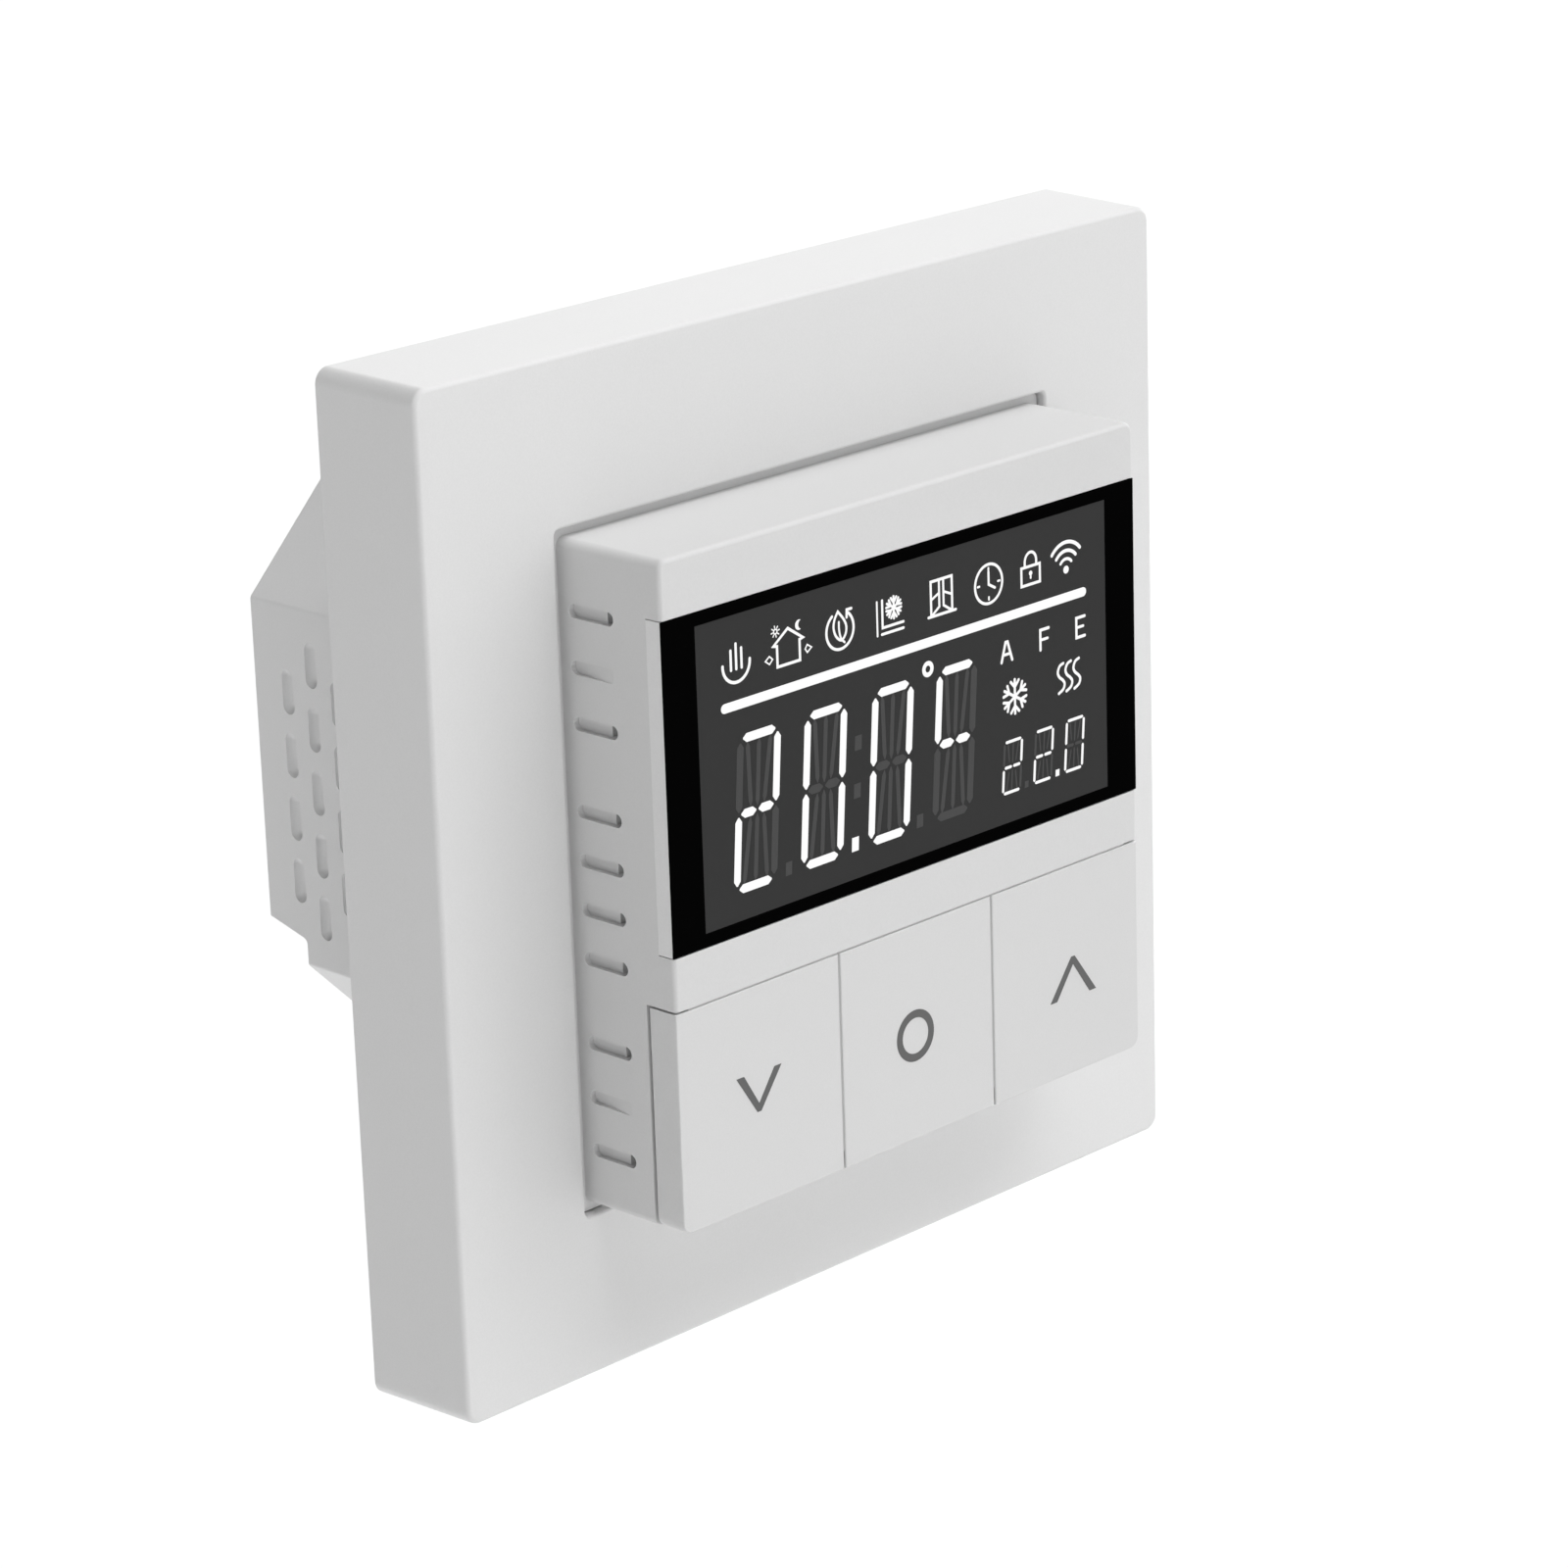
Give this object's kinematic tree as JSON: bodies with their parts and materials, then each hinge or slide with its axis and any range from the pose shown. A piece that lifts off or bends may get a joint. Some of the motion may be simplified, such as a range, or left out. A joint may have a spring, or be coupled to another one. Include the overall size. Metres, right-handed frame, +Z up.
{
  "type": "wall thermostat",
  "caption": "Square flush wall thermostat: cover frame, insert with a display over push keys, and an octagonal housing that sits in a round wall box.",
  "frame": {"origin": "centre of the cover frame's back, in the plane of the wall, midway between the two wall screws", "axes": "+X to the right seen from the front, +Y into the wall, +Z up; the front faces -Y"},
  "size_m": [0.0846, 0.0507, 0.0846],
  "materials": {
    "white_plastic": "fine matte grain",
    "key_plastic": "fine matte grain",
    "housing_plastic": "fine matte grain",
    "steel": "galvanised sheet",
    "black_print": "black printed border",
    "glass": "clear",
    "lcd_film": "dark grey display film",
    "light_guide": "satin",
    "pin_metal": "tinned",
    "black_plastic": "moulded",
    "circuit_board": "solder mask",
    "sensor_resin": "dipped resin",
    "shield_metal": "stamped tinplate",
    "relay_plastic": "moulded case",
    "capacitor_plastic": "moulded case",
    "capacitor_sleeve": "shrink sleeve",
    "terminal_plastic": "moulded",
    "brass": "plated brass"
  },
  "bodies": {
    "thermostat": {"outer_frame": "white_plastic", "mounting_plate": "steel", "front_cover": "white_plastic", "display_carrier": "white_plastic", "display_bezel": "black_print", "lcd_glass": "glass", "lcd_polariser": "lcd_film", "lcd_backlight": "light_guide", "lcd_pins": "pin_metal", "switch_bodies": "black_plastic", "front_pcb": "circuit_board", "pcb_screws": "steel", "controller_chip": "black_plastic", "temperature_sensor": "sensor_resin", "wireless_board": "circuit_board", "wireless_shield": "shield_metal", "board_socket": "black_plastic", "rear_housing": "housing_plastic", "housing_lid": "housing_plastic", "housing_screws": "steel", "power_pcb": "circuit_board", "board_header": "pin_metal", "relay": "relay_plastic", "power_module": "black_plastic", "filter_capacitor": "capacitor_plastic", "smoothing_capacitor": "capacitor_sleeve", "fuse": "black_plastic", "terminal_block": "terminal_plastic", "terminal_clamps": "brass", "terminal_screws": "steel"},
    "down_key": {"down_button": "key_plastic", "down_plunger": "black_plastic"},
    "mode_key": {"mode_button": "key_plastic", "mode_plunger": "black_plastic"},
    "up_key": {"up_button": "key_plastic", "up_plunger": "black_plastic"}
  },
  "joints": [
    {"name": "down_press", "type": "slide", "parent": "thermostat", "child": "down_key", "axis": [0, 1, 0], "range_m": [0, 0.00025], "stiffness_N_per_m": 6400},
    {"name": "mode_press", "type": "slide", "parent": "thermostat", "child": "mode_key", "axis": [0, 1, 0], "range_m": [0, 0.00025], "stiffness_N_per_m": 6400},
    {"name": "up_press", "type": "slide", "parent": "thermostat", "child": "up_key", "axis": [0, 1, 0], "range_m": [0, 0.00025], "stiffness_N_per_m": 6400}
  ]
}
